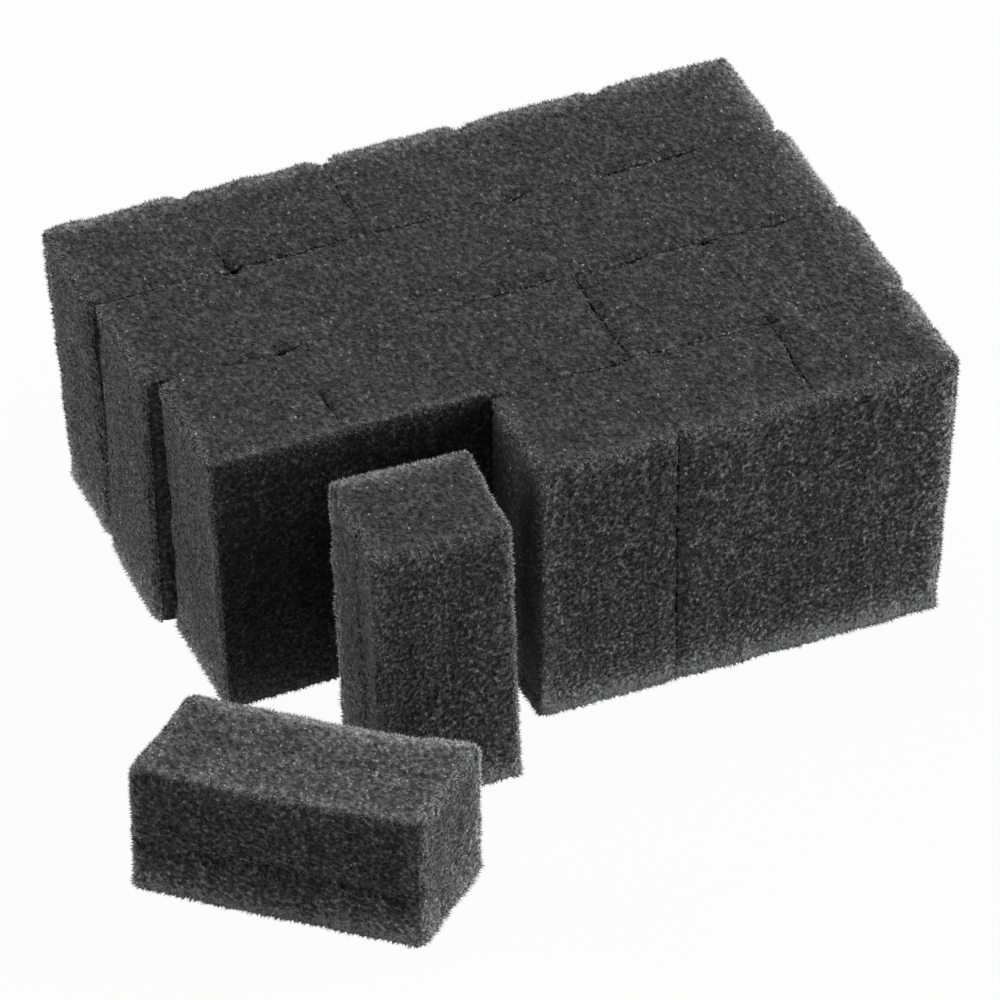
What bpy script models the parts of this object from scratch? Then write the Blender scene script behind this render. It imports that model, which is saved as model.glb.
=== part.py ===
"""Pre-cut filter sponge: a mat of black open-cell foam, knife-cut into blocks that lift out one by one.

The mat stands on the XY plane with its front towards -Y. Two blocks are out of the front row: one
stands half in the empty bay, the other lies on its side in front of it.
"""

from math import cos, radians, sin

import bmesh
import bpy
from mathutils import Vector

MM = 0.001

# The mat and its cuts
COLUMNS = 5
ROW_NAMES = ("back_row", "second_row", "third_row", "front_row")
BLOCK_WIDTH = 23.8 * MM
BLOCK_HEIGHT = 50.0 * MM
CUT_GAP = 0.4 * MM
EDGE_ROUNDING = 0.6 * MM
EDGE_SEGMENTS = 3

# The knife did not divide the mat evenly from back to front
BACK_ROW_DEPTH = 21.2 * MM
SECOND_ROW_DEPTH = 22.2 * MM
THIRD_ROW_DEPTH = 22.6 * MM
FRONT_ROW_DEPTH = 20.6 * MM
ROW_DEPTH = {
    "back_row": BACK_ROW_DEPTH,
    "second_row": SECOND_ROW_DEPTH,
    "third_row": THIRD_ROW_DEPTH,
    "front_row": FRONT_ROW_DEPTH,
}

# Blocks taken out of the front row, counted from the left
BAY_COLUMNS = 2

# How far each row has slipped to the right of the back row
ROW_SLIP = {
    "back_row": 0.0 * MM,
    "second_row": 1.0 * MM,
    "third_row": 2.0 * MM,
    "front_row": 1.8 * MM,
}

# How much narrower the first block of the third row was cut
THIRD_ROW_INSET = 1.2 * MM

# Outer faces of the mat lean inwards by these amounts at the base, its front faces outwards
LEFT_LEAN = {
    "back_row": 2.6 * MM,
    "second_row": 1.2 * MM,
    "third_row": 1.8 * MM,
}
RIGHT_LEAN = 2.6 * MM
BACK_LEAN = 2.4 * MM
FRONT_SPREAD = 0.5 * MM

# The standing loose block, by its clearance to the walls of the bay
STANDING_GAP_BEHIND = 10.6 * MM
STANDING_GAP_RIGHT = 8.8 * MM
STANDING_YAW = radians(-3.0)
STANDING_EXTRA_WIDTH = -1.0 * MM

# Its base stands further right and further forward than its top
STANDING_LEAN_LEFT = 1.3 * MM
STANDING_LEAN_BACK = 1.2 * MM

# The lying loose block, by its clearance to the standing one
LYING_GAP = 8.3 * MM
LYING_OFFSET = -8.2 * MM
LYING_YAW = radians(-39.3)
LYING_EXTRA_WIDTH = 1.6 * MM
LYING_EXTRA_DEPTH = 0.4 * MM
LYING_EXTRA_LENGTH = -2.4 * MM
LYING_TAPER = 1.0 * MM
LYING_SKEW = 3.4 * MM

# Dark grey polyurethane foam with a dull surface
FOAM_COLOUR = (0.035, 0.035, 0.037, 1.0)
FOAM_ROUGHNESS = 0.9

COLUMN_PITCH = BLOCK_WIDTH + CUT_GAP
LAST_ROW = ROW_NAMES[-1]
BAY_ROW = ROW_NAMES[-2]

# The loose blocks were cut with the front row
LOOSE_DEPTH = ROW_DEPTH[LAST_ROW]


def clear_scene():
    for obj in list(bpy.data.objects):
        bpy.data.objects.remove(obj, do_unlink=True)


def foam_material(name):
    material = bpy.data.materials.new(name + "_foam")
    material.use_nodes = True
    shader = material.node_tree.nodes["Principled BSDF"]
    shader.inputs["Base Color"].default_value = FOAM_COLOUR
    shader.inputs["Roughness"].default_value = FOAM_ROUGHNESS
    shader.inputs["Metallic"].default_value = 0.0
    return material


def foam_block(name, size, lean=None, inset=0.0, skew=0.0):
    """One block standing on its base, with its origin in the middle of the base.

    lean gives how far each side, named left, right, front or back, comes in at the base, or goes out
    where it is negative. inset cuts the left side back over its whole height. skew cuts both ends out
    of square, front against back.
    """
    lean = lean or {}
    width, depth, height = size
    mesh = bpy.data.meshes.new(name)
    bm = bmesh.new()
    bmesh.ops.create_cube(bm, size=2.0)
    for vert in bm.verts:
        side = vert.co.copy()
        vert.co = Vector((side.x * width, side.y * depth, (side.z + 1) * height)) / 2
        if side.x < 0:
            vert.co.x += inset
        if side.z < 0:
            vert.co.x -= side.x * lean.get("right" if side.x > 0 else "left", 0.0)
            vert.co.y -= side.y * lean.get("back" if side.y > 0 else "front", 0.0)
        vert.co.z += skew * side.y / 2
    bm.to_mesh(mesh)
    bm.free()
    mesh.shade_smooth()
    mesh.materials.append(foam_material(name))
    block = bpy.data.objects.new(name, mesh)
    edges = block.modifiers.new("soft_edges", "BEVEL")
    edges.width = EDGE_ROUNDING
    edges.segments = EDGE_SEGMENTS
    edges.limit_method = "NONE"
    edges.harden_normals = True
    return block


def column_x(column, row_name):
    return (column - (COLUMNS - 1) / 2) * COLUMN_PITCH + ROW_SLIP[row_name]


def row_y(row_name):
    """Middle of a row, counted forwards from the mat's back edge."""
    mat_depth = sum(ROW_DEPTH.values()) + (len(ROW_NAMES) - 1) * CUT_GAP
    behind = ROW_NAMES[: ROW_NAMES.index(row_name)]
    return mat_depth / 2 - sum(ROW_DEPTH[name] + CUT_GAP for name in behind) - ROW_DEPTH[row_name] / 2


def packed_blocks():
    blocks = []
    for row_name in ROW_NAMES:
        first = BAY_COLUMNS if row_name == LAST_ROW else 0
        for column in range(first, COLUMNS):
            lean = {}
            if column == 0:
                lean["left"] = LEFT_LEAN[row_name]
            if column == COLUMNS - 1:
                lean["right"] = RIGHT_LEAN
            if row_name == ROW_NAMES[0]:
                lean["back"] = BACK_LEAN
            if row_name == LAST_ROW or (row_name == BAY_ROW and column < BAY_COLUMNS):
                lean["front"] = -FRONT_SPREAD
            inset = THIRD_ROW_INSET if row_name == "third_row" and column == 0 else 0.0
            name = f"{row_name}_block_{column + 1}"
            block = foam_block(name, (BLOCK_WIDTH, ROW_DEPTH[row_name], BLOCK_HEIGHT), lean, inset)
            block.location = (column_x(column, row_name), row_y(row_name), 0.0)
            blocks.append(block)
    return blocks


def standing_place():
    """Middle of the standing block's base, clear of the bay's back wall and of its right wall."""
    bay_back = row_y(BAY_ROW) - ROW_DEPTH[BAY_ROW] / 2
    bay_right = column_x(BAY_COLUMNS, LAST_ROW) - BLOCK_WIDTH / 2
    x = bay_right - STANDING_GAP_RIGHT - (BLOCK_WIDTH + STANDING_EXTRA_WIDTH) / 2
    y = bay_back - STANDING_GAP_BEHIND - LOOSE_DEPTH / 2
    return Vector((x, y, 0.0))


def standing_block():
    lean = {
        "left": STANDING_LEAN_LEFT,
        "right": -STANDING_LEAN_LEFT,
        "back": STANDING_LEAN_BACK,
        "front": -STANDING_LEAN_BACK,
    }
    width = BLOCK_WIDTH + STANDING_EXTRA_WIDTH
    block = foam_block("loose_block_standing", (width, LOOSE_DEPTH, BLOCK_HEIGHT), lean)
    block.location = standing_place()
    block.rotation_euler = (0.0, 0.0, STANDING_YAW)
    return block


def lying_block():
    """A block turned over onto its right side, so that its height runs along the ground."""
    width = BLOCK_WIDTH + LYING_EXTRA_WIDTH
    depth = LOOSE_DEPTH + LYING_EXTRA_DEPTH
    length = BLOCK_HEIGHT + LYING_EXTRA_LENGTH
    lean = {"left": LYING_TAPER, "front": LYING_TAPER / 2, "back": LYING_TAPER / 2}
    block = foam_block("loose_block_lying", (width, depth, length), lean, skew=LYING_SKEW)
    along = Vector((cos(LYING_YAW), sin(LYING_YAW), 0.0))
    across = Vector((-sin(LYING_YAW), cos(LYING_YAW), 0.0))
    turn = LYING_YAW - STANDING_YAW
    standing_width = BLOCK_WIDTH + STANDING_EXTRA_WIDTH
    standing_reach = (standing_width * abs(sin(turn)) + LOOSE_DEPTH * abs(cos(turn))) / 2
    middle = standing_place() + along * LYING_OFFSET
    middle -= across * (standing_reach + LYING_GAP + depth / 2)
    block.location = middle - along * length / 2
    block.location.z = width / 2
    block.rotation_euler = (0.0, radians(90.0), LYING_YAW)
    return block


def centre_footprint(root, blocks):
    """Moves the whole set so that the middle of its footprint lies on the origin."""
    bpy.context.view_layer.update()
    depsgraph = bpy.context.evaluated_depsgraph_get()
    points = []
    for block in blocks:
        mesh = block.evaluated_get(depsgraph).data
        points += [block.matrix_world @ vert.co for vert in mesh.vertices]
    for axis in (0, 1):
        low = min(point[axis] for point in points)
        high = max(point[axis] for point in points)
        root.location[axis] = -(low + high) / 2


def build():
    clear_scene()
    collection = bpy.data.collections.new("Filter sponge")
    bpy.context.scene.collection.children.link(collection)
    root = bpy.data.objects.new("filter_sponge", None)
    collection.objects.link(root)
    blocks = packed_blocks() + [standing_block(), lying_block()]
    for block in blocks:
        collection.objects.link(block)
        block.parent = root
    centre_footprint(root, blocks)
    bpy.context.view_layer.update()


build()
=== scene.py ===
import math

import bpy
import numpy as np
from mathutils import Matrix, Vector


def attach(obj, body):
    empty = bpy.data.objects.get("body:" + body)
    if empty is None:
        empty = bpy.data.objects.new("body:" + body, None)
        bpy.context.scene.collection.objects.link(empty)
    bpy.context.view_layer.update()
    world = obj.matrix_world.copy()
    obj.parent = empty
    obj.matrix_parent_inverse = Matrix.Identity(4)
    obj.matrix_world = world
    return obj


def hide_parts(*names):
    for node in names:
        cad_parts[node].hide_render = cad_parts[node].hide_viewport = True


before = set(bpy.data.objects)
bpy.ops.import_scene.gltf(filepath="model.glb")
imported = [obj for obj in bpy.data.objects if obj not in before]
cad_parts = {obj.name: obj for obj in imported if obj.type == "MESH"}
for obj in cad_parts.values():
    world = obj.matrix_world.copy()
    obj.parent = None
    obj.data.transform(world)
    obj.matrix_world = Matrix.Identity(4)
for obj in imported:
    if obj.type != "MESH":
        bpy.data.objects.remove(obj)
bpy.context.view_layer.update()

mm = 0.001
scene = bpy.context.scene
scene.view_settings.view_transform = "Standard"
print("frame:", len(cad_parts), "foam blocks")

sideNames = ["left", "right", "front", "back", "base", "top"]
uprightSides = 4  # the first ones
baseSide, topSide = sideNames.index("base"), sideNames.index("top")
notBase = np.array([1, 1, 1, 1, 0, 1])  # in the order of sideNames
farOff = 99.0  # mm, more than any block is long

# How closely triangles of one flat side agree: their normals, and their planes in mm
samePlane = {"cosine": 0.9998, "step": 0.05}


# Six flat sides of a CAD block, largest triangles first: triangles that share a plane are one side
def flatSides(cadNode):
    mesh = cadNode.data
    points = np.empty(len(mesh.vertices) * 3)
    mesh.vertices.foreach_get("co", points)
    mesh.calc_loop_triangles()
    corners = np.empty(len(mesh.loop_triangles) * 3, int)
    mesh.loop_triangles.foreach_get("vertices", corners)
    a, b, c = points.reshape(-1, 3)[corners].reshape(-1, 3, 3).transpose(1, 0, 2) / mm
    normal = np.cross(b - a, c - a)
    area = np.linalg.norm(normal, axis=1)
    normal = normal / np.maximum(area, 1e-12)[:, None]
    offset = (normal * a).sum(1)
    free = np.ones(len(area), bool)
    sides = []
    while len(sides) < len(sideNames):
        seed = np.argmax(np.where(free, area, 0))
        alike = normal @ normal[seed] > samePlane["cosine"]
        free &= ~(alike & (abs(offset - offset[seed]) < samePlane["step"]))
        sides.append((normal[seed], offset[seed]))
    return sides


# Eight corners as [right][back][up]: each is where three flat sides meet
def blockCorners(cadNode):
    sides = flatSides(cadNode)
    up = max(sides, key=lambda s: s[0][2])
    base = min(sides, key=lambda s: s[0][2])
    rest = [s for s in sides if s is not up and s is not base]
    right = max(rest, key=lambda s: s[0][0])
    left = min(rest, key=lambda s: s[0][0])
    rest = [s for s in rest if s is not right and s is not left]
    back = max(rest, key=lambda s: s[0][1])
    front = min(rest, key=lambda s: s[0][1])
    corners = np.empty((2, 2, 2, 3))
    for i, j, k in np.ndindex(2, 2, 2):
        three = ((left, right)[i], (front, back)[j], (base, up)[k])
        corners[i, j, k] = np.linalg.solve([s[0] for s in three], [s[1] for s in three])
    return corners


# Points of a box, as shares of its sides, carried into the block: each corner weighs by the product
# of the shares towards it
def intoBlock(corners, share):
    place = np.zeros_like(share)
    for i, j, k in np.ndindex(2, 2, 2):
        weight = np.where([i, j, k], share, 1 - share).prod(1)
        place += weight[:, None] * corners[i, j, k]
    return place


bakeMargin = 0.01  # share of a slot


# Outside of a box of counts cells: grid points on the six sides, each shared along the edges, the
# squares between them, wound to face outwards, and their bake map, a slot for each side in a line
def shellGrid(counts):
    on = np.zeros(counts + 1, bool)
    on[[0, -1]] = on[:, [0, -1]] = on[:, :, [0, -1]] = True
    index = np.full(counts + 1, -1)
    index[on] = np.arange(on.sum())
    steps = np.argwhere(on)
    squares, slots = [], []
    for axis, end in np.ndindex(3, 2):
        sheet = np.take(index, -end, axis=axis)
        ring = [sheet[:-1, :-1], sheet[1:, :-1], sheet[1:, 1:], sheet[:-1, 1:]]
        square = np.stack(ring, -1).reshape(-1, 4)
        if (end == 0) != (axis == 1):
            square = square[:, ::-1]
        squares.append(square)
        across = [a for a in range(3) if a != axis]
        share = steps[square][:, :, across] / counts[across]
        share = share * (1 - 2 * bakeMargin) + bakeMargin
        slots.append((share + [2 * axis + end, 0]) / [len(sideNames), 1])
    return steps, np.concatenate(squares), np.concatenate(slots)


noise = {"seed": 30, "cells": 32}
noiseTable = np.random.default_rng(noise["seed"]).random((noise["cells"],) * 3)

# Starts of the patterns in the noise, so that no two of them line up
noiseShift = {"streak": 7.0, "cloud": 3.0, "blotch": 5.0, "axis": 40, "cut": 9}


# Smooth noise from -1 to 1: random values on a grid, mixed by eased shares between its points
def softNoise(points, size):
    spot = points / size
    home = np.floor(spot).astype(int)
    part = spot - home
    part = part * part * (3 - 2 * part)
    total = np.zeros(len(points))
    for corner in np.ndindex(2, 2, 2):
        weight = np.where(corner, part, 1 - part).prod(1)
        total += weight * noiseTable[tuple(((home + corner) % noise["cells"]).T)]
    return total * 2 - 1


# The mat: rows from the back, blocks counted from the left, the front row's first two taken out
mat = {
    "rows": ["back_row", "second_row", "third_row", "front_row"],
    "columns": 5,
    "bayColumns": 2,
}


def isLoose(name):
    return name.startswith("loose")


# Row from the back and column from the left, counted from 0
def rowAndColumn(name):
    rowName, number = name.rsplit("_block_", 1)
    return mat["rows"].index(rowName), int(number) - 1


# In the order of sideNames: 1 where a side is at the outside
def openSides(name):
    if isLoose(name):
        return np.ones(len(sideNames))
    row, column = rowAndColumn(name)
    lastRow = len(mat["rows"]) - 1
    left = column == 0 or (row == lastRow and column == mat["bayColumns"])
    right = column == mat["columns"] - 1
    front = row == lastRow or (row == lastRow - 1 and column < mat["bayColumns"])
    return np.array([left, right, front, row == 0, True, True], float)


# Box points with the outer edges rounded: a point's part beyond the inner box is drawn in from the
# square corner's distance to the round one's
def roundOuter(spot, lengths, sides, radius):
    low = np.where(sides[::2], radius, -farOff)
    high = np.where(sides[1::2], lengths - radius, farOff)
    inner = np.clip(spot, low, high)
    out = spot - inner
    reach = np.maximum(np.linalg.norm(out, axis=1), 1e-9)
    return inner + out * (abs(out).max(1) / reach)[:, None], out / reach[:, None]


# Cuts that gape, in the CAD frame, in mm: between rows from x to x, between columns from y to y
gapes = [
    # cut, number, from, to, width, depth
    ("row", 1, -48.6, -30.6, 0.35, 4.0),
    ("row", 1, -26.8, -23.4, 1.5, 8.0),
    ("row", 1, -24.6, -0.6, 0.5, 5.0),
    ("row", 1, -0.6, 11.4, 0.4, 4.0),
    ("row", 1, 21.6, 26.0, 0.9, 7.0),
    ("row", 1, 38.9, 55.8, 0.9, 6.0),
    ("row", 2, -26.8, -22.3, 0.9, 5.0),
    ("row", 2, 9.6, 22.9, 0.5, 4.0),
    ("row", 2, 26.4, 46.7, 0.65, 5.0),
    ("row", 2, 46.6, 49.0, 0.9, 7.0),
    ("row", 2, 48.4, 62.8, 0.6, 5.0),
    ("row", 3, 16.4, 25.4, 0.6, 4.0),
    ("row", 3, 27.4, 46.6, 0.45, 4.0),
    ("row", 3, 47.2, 50.0, 1.0, 7.0),
    ("column", 1, 43.6, 48.4, 0.9, 6.0),
    ("column", 1, 1.2, 9.2, 0.5, 4.0),
    ("column", 2, 63.4, 69.0, 1.8, 20.0),
    ("column", 2, 44.0, 63.0, 0.3, 4.0),
    ("column", 3, -1.6, 21.4, 0.6, 6.0),
    ("column", 3, -25.5, -20.8, 0.6, 60.0),
    ("column", 4, -21.3, -1.6, 0.6, 6.0),
]
gapeEdge = {
    "endPower": 6,  # the higher, the more suddenly a gape ends
    "mean": 0.75,
    "ragged": 0.5,
    "raggedSize": 1.6,  # mm
}


# How far the cut on one side of a block gapes at each point: every listed cut is a flat-topped hump
# along its line, ragged and fading downwards
def gapeAt(cut, number, place, depth):
    along = place[:, 0] if cut == "row" else place[:, 1]
    width = np.zeros(len(place))
    for kind, which, start, end, wide, deep in gapes:
        if (kind, which) == (cut, number):
            hump = np.exp(-((abs(2 * along - start - end) / (end - start)) ** gapeEdge["endPower"]))
            width = np.maximum(width, wide * hump * np.exp(-((depth / deep) ** 2)))
    ragged = gapeEdge["ragged"] * softNoise(place, gapeEdge["raggedSize"])
    return width * (gapeEdge["mean"] + ragged)


# Skin of open-cell foam, in mm
foam = {
    "spacing": 0.8,
    "edge": 1.0,  # radius of the outer edges
    "crumble": 0.12,  # unevenness
    "crumbleSize": 1.3,
    "wave": 0.26,
    "waveSize": 5.0,
    "seamBulge": 0.19,  # how far a cut side swells towards its neighbour
    "seamReach": 3.0,
    "notch": 0.9,  # how far a cut opens where it comes out of the mat
    "notchReach": 1.8,
    "sway": 0.35,  # how far a cut wanders off its line
    "swaySize": 4.5,
    "lip": 0.9,  # how deep the foam beside a gaping cut sinks, for its width
    "lipReach": 1.2,
}

# The lying block has been handled most: rounder edges, a top that sags and has more painted glints
handled = {"name": "loose_block_lying", "edge": 1.8, "sag": 0.8, "glints": 3.0}

# Shallow knife scores
scores = [
    # block, side, axis it is measured along, share of that axis, width and depth in mm
    ("loose_block_standing", "left", 1, 0.38, 0.9, 0.6),
    ("loose_block_lying", "top", 1, 0.53, 0.8, 0.5),
    ("loose_block_lying", "front", 2, 0.38, 1.0, 1.0),
]
scoreSway = 3.0  # mm along a score from one bend to the next


# Cut sides of a packed block: they swell nearly to the next block, wander by a noise that both blocks
# read along the cut, and draw back by half its width where the cut gapes or comes out of the mat, with
# sunken lips beside it
def moveCutSides(name, spot, normal, place, toSide, sides):
    row, column = rowAndColumn(name)
    cuts = [("column", column), ("column", column + 1), ("row", row + 1), ("row", row)]
    upright = sides[:uprightSides]
    notching = upright * [1, 1, 0, 1]  # at the front the cuts stay shut
    toOuter = np.where(notching, toSide[:, :uprightSides], farOff).min(1)
    notch = foam["notch"] * np.exp(-((toOuter / foam["notchReach"]) ** 2))
    for side in np.flatnonzero(upright == 0):
        axis, outwards = side // 2, side % 2 * 2 - 1
        cut, number = cuts[side]
        gape = np.maximum(gapeAt(cut, number, place, toSide[:, topSide]), notch)
        swell = foam["seamBulge"] - gape / 2
        pull = np.clip(1 - toSide[:, side] / foam["seamReach"], 0, 1) ** 2
        line = np.zeros_like(place) + [0, axis * noiseShift["axis"] + number * noiseShift["cut"], 0]
        line[:, 0] = place[:, 1 - axis]
        sway = foam["sway"] * softNoise(line, foam["swaySize"])
        spot[:, axis] += (outwards * swell + sway) * pull
        sunk = foam["lip"] * gape * np.exp(-((toSide[:, side] / foam["lipReach"]) ** 2))
        spot = spot - normal * sunk[:, None]
    return spot


# Tones of the foam, painted light and shade among them, as times its colour, with sizes and reaches in
# mm
foamTone = {
    "rimReach": 1.1,  # light comes in from two sides along an edge
    "farRim": 2.6,  # more of it from behind, and from the mat's right
    "baseRim": {"left": 2.0, "front": 4.0},  # and off a white floor
    "baseReach": 3.0,
    "baseNear": 0.5,  # share at which distances to the base count
    "floorGlow": 0.55,  # the floor lights the low parts of the sides too
    "glowReach": 9.0,
    "streak": 0.3,  # knife marks down the sides
    "streakSize": 1.1,
    "streakStretch": 14.0,
    "cloud": 0.08,  # slow change of tone
    "cloudSize": 8.0,
    "blotch": {"left": 0.3, "right": 0.1},  # coarser, softer pattern of the smoother sides
    "blotchSize": (1.2, 2.0, 1.3),
    "shade": {"left": 0.79, "right": 0.93, "front": 1.09},  # painted shade and light: each side painted darker or lighter than the top, whose is 1, for how the light falls on it
    "grain": {"left": 1.1, "right": 1.3, "front": 1.55, "back": 1.55},
    "edgeGrain": 0.45,  # share of the grain that is left at an edge
}

# Sides painted lighter or darker than the rest of the foam: painted shade on the bay's back wall, on the
# second row's front at the step, and on the lying block's front; the lying block's top and right end are
# lighter, partly its own tone and partly painted light
sideToneAndShade = {
    "loose_block_lying": {"right": 1.1, "front": 0.73, "top": 1.86},
    "second_row_block_1": {"front": 0.7},
    "third_row_block_1": {"front": 0.5},
    "third_row_block_2": {"front": 0.42},
}

# How far crumbs and tufts stand out: further along the base, less on the smoother sides
crumbStand = {
    "base": 1.5,
    "baseReach": 1.0,  # mm
    "sides": {"left": 0.65, "right": 0.85},
}


# A setting that differs by side, at points on the given sides
def atSides(values, other, side):
    return np.array([values.get(label, other) for label in sideNames])[side]


# Tones of a skin's points: painted light on the rims that fades away from the outer edges, painted light
# from the floor that fades upwards, painted shade by side, streaks, clouds and blotches of noise; and
# how crumbs stand there and how many are painted as glints
def skinTones(name, place, toSide, onSide, sides):
    nearest = toSide.argmin(1)
    up = toSide[:, baseSide]
    toOpen = np.where(sides, toSide * np.where(notBase, 1, foamTone["baseNear"]), farOff)
    toEdge = np.sort(toOpen, axis=1)[:, 1]
    side, beyond = toOpen.argsort(1)[:, :2].T
    farNames = ["back"] if isLoose(name) else ["right", "back"]
    farSides = [sideNames.index(label) for label in farNames]
    # painted light along the outer edges: more at the far edges and along the base
    rimLight = np.exp(-toEdge / foamTone["rimReach"])
    rimLight *= 1 + foamTone["farRim"] * (np.isin(beyond, farSides) & ~np.isin(side, farSides))
    rimLight *= 1 + atSides(foamTone["baseRim"], 0.0, side) * np.exp(-up / foamTone["baseReach"])

    onEnds = onSide[:, baseSide] | onSide[:, topSide]
    stretch = np.array([foamTone["streakSize"], foamTone["streakSize"], foamTone["streakStretch"]])
    streak = softNoise(place / stretch + noiseShift["streak"], 1.0) * foamTone["streak"] * ~onEnds
    cloud = foamTone["cloud"] * softNoise(place + noiseShift["cloud"], foamTone["cloudSize"])
    blotch = softNoise(place / foamTone["blotchSize"] + noiseShift["blotch"], 1.0)
    tone = 1 + streak + cloud
    # painted light from the floor, fading upwards
    tone *= 1 + foamTone["floorGlow"] * np.exp(-up / foamTone["glowReach"])
    tone *= np.exp(atSides(foamTone["blotch"], 0.0, nearest) * blotch)
    # painted shade and light by side, as the light falls on each side
    tone *= atSides(sideToneAndShade.get(name, {}), 1.0, nearest) * atSides(foamTone["shade"], 1.0, nearest)

    grain = atSides(foamTone["grain"], 1.0, nearest)
    grain *= 1 - (1 - foamTone["edgeGrain"]) * np.exp(-toEdge / foamTone["rimReach"])
    stand = np.where(toEdge < tuftReach, 1.0, atSides(crumbStand["sides"], 1.0, nearest))
    stand = np.where(up < crumbStand["baseReach"], crumbStand["base"], stand)
    glints = np.where(onEnds & (name == handled["name"]), handled["glints"], 1.0)
    return {"toEdge": toEdge, "rimLight": rimLight, "tone": tone, "grain": grain, "stand": stand, "glints": glints}


# Skin of a block: the shell of its box with round outer edges, uneven by slow waves, crumbling and
# knife scores, with its cut sides moved
def foamSkin(name, corners, lengths, sides):
    counts = np.round(lengths / foam["spacing"]).astype(int)
    steps, squares, slots = shellGrid(counts)
    flat = steps * lengths / counts
    place = intoBlock(corners, flat / lengths)
    toSide = np.stack([flat, lengths - flat], -1).reshape(-1, len(sideNames))
    onSide = toSide < 1e-6
    isHandled = name == handled["name"]
    edge = foam["edge"] * (handled["edge"] if isHandled else 1)
    spot, normal = roundOuter(flat, lengths, sides * notBase, edge)  # it stands flat

    rise = foam["wave"] * softNoise(place, foam["waveSize"])
    rise += foam["crumble"] * softNoise(place, foam["crumbleSize"])
    for block, side, axis, share, wide, deep in scores:
        if block == name:
            off = (flat[:, axis] - share * lengths[axis]) / wide + softNoise(place, scoreSway)
            rise -= deep * np.exp(-(off**2)) * onSide[:, sideNames.index(side)]
    onOpen = (onSide & (sides > 0)).any(1)
    spot = spot + normal * (rise * onOpen)[:, None]
    if isHandled:  # sag: most in the middle of the length, none at the base
        along = 2 * flat[:, 0] / lengths[0] - 1
        spot[:, 2] -= handled["sag"] * (1 - along**2) * flat[:, 2] / lengths[2]
    if not isLoose(name):
        spot = moveCutSides(name, spot, normal, place, toSide, sides)
    spot[:, 2] = np.maximum(spot[:, 2], 0)
    return {
        "spot": spot,
        "squares": squares,
        "slots": slots,
        "normal": normal,
        "bears": (onSide & (sides * notBase > 0)).any(1),  # crumbs: not on the base
        "turning": (onSide.sum(1) > 1) & (onSide & (sides == 0)).any(1),  # at a cut side's edges
        **skinTones(name, place, toSide, onSide, sides),
    }


# Crumbs of cell wall all over the open sides, and thin tufts along the outer edges, in mm
crumbs = {
    "each": 2,  # at every grid point of the skin
    "radius": (0.22, 0.38),
    "height": (0.1, 0.4),
    "root": 0.1,  # how deep they start
    "lean": 0.6,
    "spread": 0.35,  # of their tones
    "tone": 1.0,
    # painted glints: this share of crumbs is painted this many times lighter, as highlights
    "glintShare": 0.045,
    "glintTone": 4.0,
}
tufts = {
    "each": 6,
    "radius": (0.09, 0.16),
    "height": (0.2, 0.7),
    "root": 0.1,
    "lean": 0.8,
    "spread": 0.3,
    # painted light: tufts painted lighter, for light coming through the thin fuzz
    "tone": 1.7,
    "glintShare": 0.0,
    "glintTone": 1.0,
}
tuftReach = 1.4

# A crumb is a spike of three root points and a tip, and each of its faces has a bake cell
spikePoints = 4
spikeFaces = np.array([(0, 1, 3), (1, 2, 3), (2, 0, 3), (0, 2, 1)])
spikeSlot = [(0.1, 0.1), (0.9, 0.1), (0.5, 0.9)]


# Crumbs or tufts on chosen points of a skin: small uneven spikes shifted off the point by up to half
# a grid step and leaning any way, and their bake map
def foamCrumbs(skin, chosen, kind, chance):
    chosen = np.repeat(np.flatnonzero(chosen), kind["each"])
    count = len(chosen)
    out = skin["normal"][chosen]
    across = np.cross(out, chance.normal(size=(count, 3)))
    across /= np.linalg.norm(across, axis=1)[:, None]
    beside = np.cross(out, across)
    shift = chance.uniform(-0.5, 0.5, (count, 2, 1)) * foam["spacing"]
    root = skin["spot"][chosen] + across * shift[:, 0] + beside * shift[:, 1] - out * kind["root"]
    stand = skin["stand"][chosen]
    high = kind["root"] + chance.uniform(*kind["height"], (count, 1)) * stand[:, None]
    tip = root + (out + across * kind["lean"] * chance.random((count, 1))) * high
    wide = chance.uniform(*kind["radius"], (count, 1))
    turns = np.arange(3) * math.tau / 3
    ring = [root + wide * (across * math.cos(a) + beside * math.sin(a)) for a in turns]
    points = np.stack([*ring, tip], 1).reshape(-1, 3)
    points[:, 2] = np.maximum(points[:, 2], 0)
    triangles = (spikeFaces + spikePoints * np.arange(count)[:, None, None]).reshape(-1, 3)
    line = math.ceil(math.sqrt(len(triangles)))
    cell = np.stack(np.divmod(np.arange(len(triangles)), line), -1)[:, None]
    slots = (cell + spikeSlot) / line
    tone = skin["tone"][chosen] * kind["tone"] * np.exp(chance.normal(0, kind["spread"], count))
    # painted glints: some crumbs painted many times lighter
    glint = chance.random(count) < kind["glintShare"] * skin["glints"][chosen]
    tone *= np.where(glint, kind["glintTone"], 1)
    facts = {"rimLight": skin["rimLight"][chosen], "tone": tone, "grain": skin["grain"][chosen]}
    facts = {label: np.repeat(values, spikePoints) for label, values in facts.items()}
    return {"spot": points, "triangles": triangles, "slots": slots, **facts}


# Mesh of squares followed by triangles
def meshOf(name, points, squares, triangles):
    mesh = bpy.data.meshes.new(name)
    mesh.vertices.add(len(points))
    mesh.vertices.foreach_set("co", points.astype(np.float32).ravel())
    mesh.loops.add(squares.size + triangles.size)
    ring = np.concatenate([squares.ravel(), triangles.ravel()])
    mesh.loops.foreach_set("vertex_index", ring.astype(np.int32))
    mesh.polygons.add(len(squares) + len(triangles))
    first = np.append(np.arange(len(squares)) * 4, squares.size + np.arange(len(triangles)) * 3)
    mesh.polygons.foreach_set("loop_start", first.astype(np.int32))
    mesh.update(calc_edges=True)
    mesh.validate()
    return mesh


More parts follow.
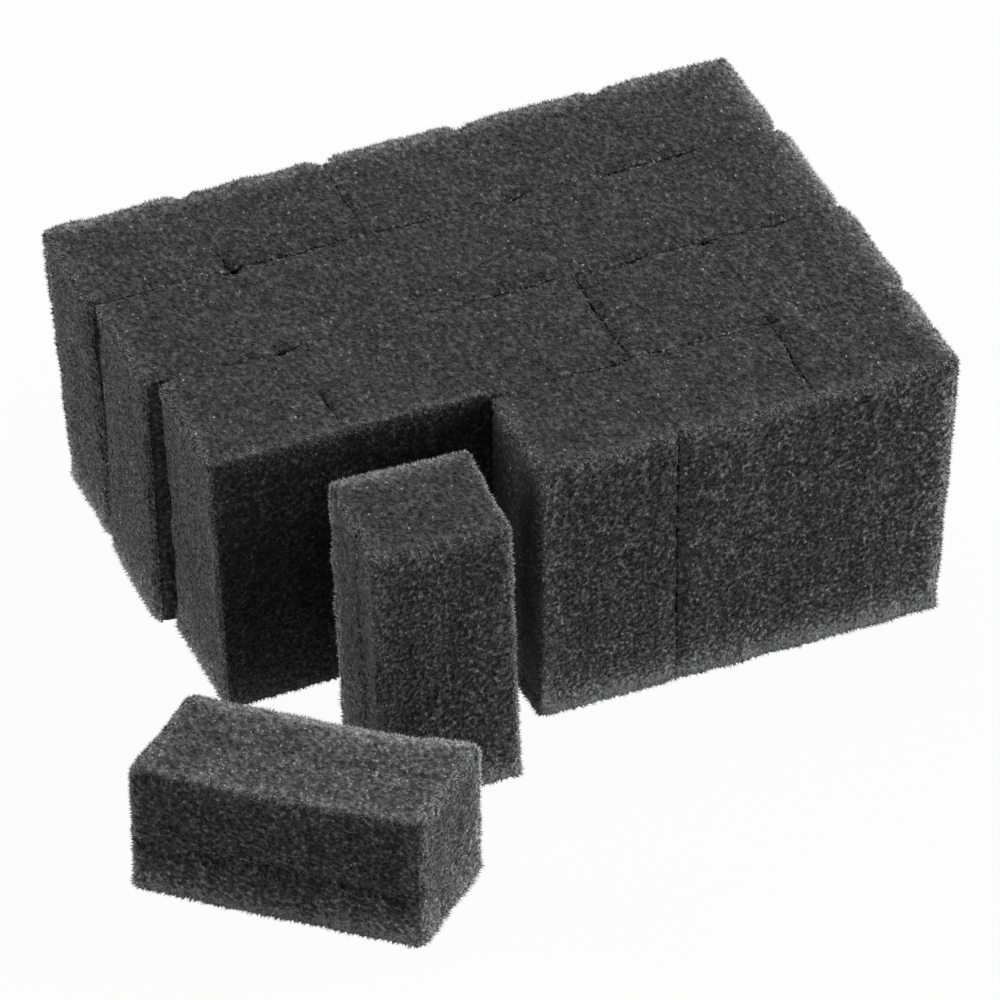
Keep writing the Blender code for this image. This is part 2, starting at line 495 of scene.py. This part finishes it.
# One block: its skin, crumbs and tufts in one mesh
def foamBlock(name):
    corners = blockCorners(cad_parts[name])
    lengths = np.array([np.linalg.norm(np.diff(corners, axis=a), axis=-1).mean() for a in range(3)])
    skin = foamSkin(name, corners, lengths, openSides(name))
    chance = np.random.default_rng(sorted(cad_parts).index(name))
    spikes = [
        foamCrumbs(skin, skin["bears"], crumbs, chance),
        foamCrumbs(skin, skin["bears"] & (skin["toEdge"] < tuftReach), tufts, chance),
    ]
    layers = [skin, *spikes]
    starts = np.cumsum([len(layer["spot"]) for layer in layers])
    points = intoBlock(corners, np.concatenate([layer["spot"] for layer in layers]) / lengths) * mm
    triangles = np.concatenate([part["triangles"] + start for part, start in zip(spikes, starts)])
    mesh = meshOf(name + "_foam", points, skin["squares"], triangles)

    bakeMap = mesh.uv_layers.new(name="OFBake")  # skin, crumbs and tufts in three bands
    corner = np.concatenate([(layer["slots"] + [0, i]).reshape(-1, 2) for i, layer in enumerate(layers)])
    bakeMap.uv.foreach_set("vector", (corner / [1, len(layers)]).astype(np.float32).ravel())
    for label in ("rimLight", "tone", "grain"):
        values = np.concatenate([layer[label] for layer in layers])
        attribute = mesh.attributes.new(label, "FLOAT", "POINT")
        attribute.data.foreach_set("value", values.astype(np.float32))
    # the edges of the cut sides stay sharp, so that a closed cut leaves no line
    pair = np.empty(len(mesh.edges) * 2, np.int32)
    mesh.edges.foreach_get("vertices", pair)
    turning = np.append(skin["turning"], np.zeros(len(points) - len(skin["turning"]), bool))
    sharp = mesh.attributes.new("sharp_edge", "BOOLEAN", "EDGE")
    sharp.data.foreach_set("value", turning[pair].reshape(-1, 2).all(1))
    mesh.shade_smooth()
    piece = bpy.data.objects.new(name + "_foam", mesh)
    scene.collection.objects.link(piece)
    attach(piece, name)
    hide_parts(name)
    return piece


def node(tree, kind, **values):
    made = tree.nodes.new(kind)
    for key, value in values.items():
        setattr(made, key, value)
    return made


# Two values, or a value and a number, put through one sum
def sums(tree, operation, first, second):
    made = node(tree, "ShaderNodeMath", operation=operation)
    for socket, value in zip(made.inputs, (first, second)):
        if isinstance(value, (int, float)):
            socket.default_value = value
        else:
            tree.links.new(value, socket)
    return made.outputs[0]


foamFinish = {
    "colour": (0.065, 0.065, 0.066),
    "mottleSize": (0.7, 1.1, 0.7),  # mm; the cells are drawn out from front to back
    "mottleDetail": 1.2,
    "mottleMiddle": 0.5,
    "mottle": 50.0,  # lightest to darkest
    # painted light: how many times lighter the rims are painted
    "paintedRimLight": 3.3,
    "lightest": 10.0,
    "roughness": 0.7,
    "specular": 0.1,  # the pores swallow most of it
    "sheen": 0.08,
    "sheenRoughness": 0.5,
    "bumpStrength": 0.5,
    "bumpDistance": 0.4,  # mm
}


# Black foam: its colour times the point's tone, which holds painted light and shade, times the mottle to
# the power of a noise about zero times the grain, times painted light along the rims, up to a lightest
# level
def foamMaterial():
    material = bpy.data.materials.new("blackFoam")
    material.use_nodes = True
    tree = material.node_tree
    link = tree.links.new
    shader = tree.nodes["Principled BSDF"]
    shader.inputs["Roughness"].default_value = foamFinish["roughness"]
    shader.inputs["Specular IOR Level"].default_value = foamFinish["specular"]
    shader.inputs["Sheen Weight"].default_value = foamFinish["sheen"]
    shader.inputs["Sheen Roughness"].default_value = foamFinish["sheenRoughness"]
    place = node(tree, "ShaderNodeTexCoord").outputs["Object"]
    rimLight = node(tree, "ShaderNodeAttribute", attribute_name="rimLight").outputs["Fac"]
    tone = node(tree, "ShaderNodeAttribute", attribute_name="tone").outputs["Fac"]
    grain = node(tree, "ShaderNodeAttribute", attribute_name="grain").outputs["Fac"]

    cells = node(tree, "ShaderNodeVectorMath", operation="DIVIDE")
    cells.inputs[1].default_value = [size * mm for size in foamFinish["mottleSize"]]
    link(place, cells.inputs[0])
    mottle = node(tree, "ShaderNodeTexNoise")
    mottle.inputs["Scale"].default_value = 1.0
    mottle.inputs["Detail"].default_value = foamFinish["mottleDetail"]
    link(cells.outputs["Vector"], mottle.inputs["Vector"])
    power = sums(tree, "SUBTRACT", mottle.outputs[0], foamFinish["mottleMiddle"])
    power = sums(tree, "MULTIPLY", power, grain)
    level = sums(tree, "MULTIPLY", tone, sums(tree, "POWER", foamFinish["mottle"], power))
    lift = sums(tree, "MULTIPLY", rimLight, foamFinish["paintedRimLight"] - 1)
    level = sums(tree, "MULTIPLY", level, sums(tree, "ADD", lift, 1))
    level = sums(tree, "MINIMUM", level, foamFinish["lightest"])
    colour = node(tree, "ShaderNodeVectorMath", operation="SCALE")
    colour.inputs[0].default_value = foamFinish["colour"]
    link(level, colour.inputs["Scale"])
    link(colour.outputs["Vector"], shader.inputs["Base Color"])

    bump = node(tree, "ShaderNodeBump")
    bump.inputs["Strength"].default_value = foamFinish["bumpStrength"]
    bump.inputs["Distance"].default_value = foamFinish["bumpDistance"] * mm
    link(mottle.outputs[0], bump.inputs["Height"])
    link(bump.outputs["Normal"], shader.inputs["Normal"])
    return material


blackFoam = foamMaterial()
pieces = [foamBlock(name) for name in sorted(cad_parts)]
for piece in pieces:
    piece.data.materials.append(blackFoam)
faceCount = sum(len(p.data.loops) - 2 * len(p.data.polygons) for p in pieces)
print("blocks:", len(pieces), "triangles:", faceCount)


# Photo's own view: angles in degrees, the rest in mm
view = {
    "azimuth": -22.682,
    "elevation": 40.068,
    "distance": 1286.16,
    "target": (6.676, 7.87, 19.2),
    "lens": 288.0,
    "sensor": 36.0,
    "clipStart": 10.0,
    "clipEnd": 50000.0,
}


def addCamera():
    turn, rise = math.radians(view["azimuth"]), math.radians(view["elevation"])
    back = Vector((math.sin(turn) * math.cos(rise), -math.cos(turn) * math.cos(rise), math.sin(rise)))
    camera = bpy.data.objects.new("camera", bpy.data.cameras.new("camera"))
    camera.data.lens = view["lens"]
    camera.data.sensor_width = view["sensor"]
    camera.data.clip_start = view["clipStart"] * mm
    camera.data.clip_end = view["clipEnd"] * mm
    camera.location = (Vector(view["target"]) + back * view["distance"]) * mm
    camera.rotation_mode = "QUATERNION"
    camera.rotation_quaternion = back.to_track_quat("Z", "Y")
    scene.collection.objects.link(camera)
    scene.camera = camera


studio = {
    "floorSize": 8.0,  # m
    "floorDrop": 0.3,  # mm below the foam
    "floorColour": (0.86, 0.86, 0.86, 1),
    "floorWhite": 0.96,  # share of plain white in what the camera sees
    "skyColour": (1, 1, 1, 1),
    "skyLight": 0.01,
    "lampSize": 0.8,  # m
    "lamps": [
        # name, place (m), power (W)
        ("overhead", (0.05, 0.2, 1.1), 2.8),
        ("right", (0.98, -0.56, 0.41), 4.5),
        ("farRight", (1.12, -0.1, 0.41), 9.7),
        ("left", (-1.02, 0.48, 0.41), 6.5),
        ("back", (0.0, 1.13, 0.41), 2.5),
    ],
}


# Rays that are to meet plain white: the camera's own, and those off or through the object
def whiteRays(tree):
    path = node(tree, "ShaderNodeLightPath").outputs
    bounced = sums(tree, "MAXIMUM", path["Is Glossy Ray"], path["Is Transmission Ray"])
    return sums(tree, "MAXIMUM", path["Is Camera Ray"], bounced)


# First shader where the share is 0, second where it is 1, put out to the surface
def mixOut(tree, outKind, share, first, second):
    mix = node(tree, "ShaderNodeMixShader")
    out = node(tree, outKind)
    tree.links.new(share, mix.inputs[0])
    tree.links.new(first.outputs[0], mix.inputs[1])
    tree.links.new(second.outputs[0], mix.inputs[2])
    tree.links.new(mix.outputs[0], out.inputs["Surface"])


def addFloor():
    half = studio["floorSize"] / 2
    mesh = bpy.data.meshes.new("floor")
    ring = [(-half, -half, 0), (half, -half, 0), (half, half, 0), (-half, half, 0)]
    mesh.from_pydata(ring, [], [(0, 1, 2, 3)])
    floor = bpy.data.objects.new("floor", mesh)
    floor.location.z = -studio["floorDrop"] * mm
    scene.collection.objects.link(floor)
    material = bpy.data.materials.new("paleFloor")
    material.use_nodes = True
    tree = material.node_tree
    tree.nodes.clear()
    matte = node(tree, "ShaderNodeBsdfDiffuse")
    matte.inputs["Color"].default_value = studio["floorColour"]
    white = node(tree, "ShaderNodeEmission")
    share = sums(tree, "MULTIPLY", whiteRays(tree), studio["floorWhite"])
    mixOut(tree, "ShaderNodeOutputMaterial", share, matte, white)
    mesh.materials.append(material)


def addSky():
    world = bpy.data.worlds.new("studio")
    world.use_nodes = True
    tree = world.node_tree
    tree.nodes.clear()
    light = node(tree, "ShaderNodeBackground")
    light.inputs["Color"].default_value = studio["skyColour"]
    light.inputs["Strength"].default_value = studio["skyLight"]
    seen = node(tree, "ShaderNodeBackground")
    seen.inputs["Color"].default_value = studio["skyColour"]
    mixOut(tree, "ShaderNodeOutputWorld", whiteRays(tree), light, seen)
    scene.world = world


def addLamps():
    for name, place, power in studio["lamps"]:
        lamp = bpy.data.lights.new(name, "AREA")
        lamp.shape = "SQUARE"
        lamp.size = studio["lampSize"]
        lamp.energy = power
        holder = bpy.data.objects.new(name, lamp)
        holder.location = place
        holder.rotation_mode = "QUATERNION"
        holder.rotation_quaternion = Vector(place).to_track_quat("Z", "Y")
        scene.collection.objects.link(holder)


addCamera()
addFloor()
addSky()
addLamps()
print("stage: camera, floor, sky and", len(studio["lamps"]), "lamps")
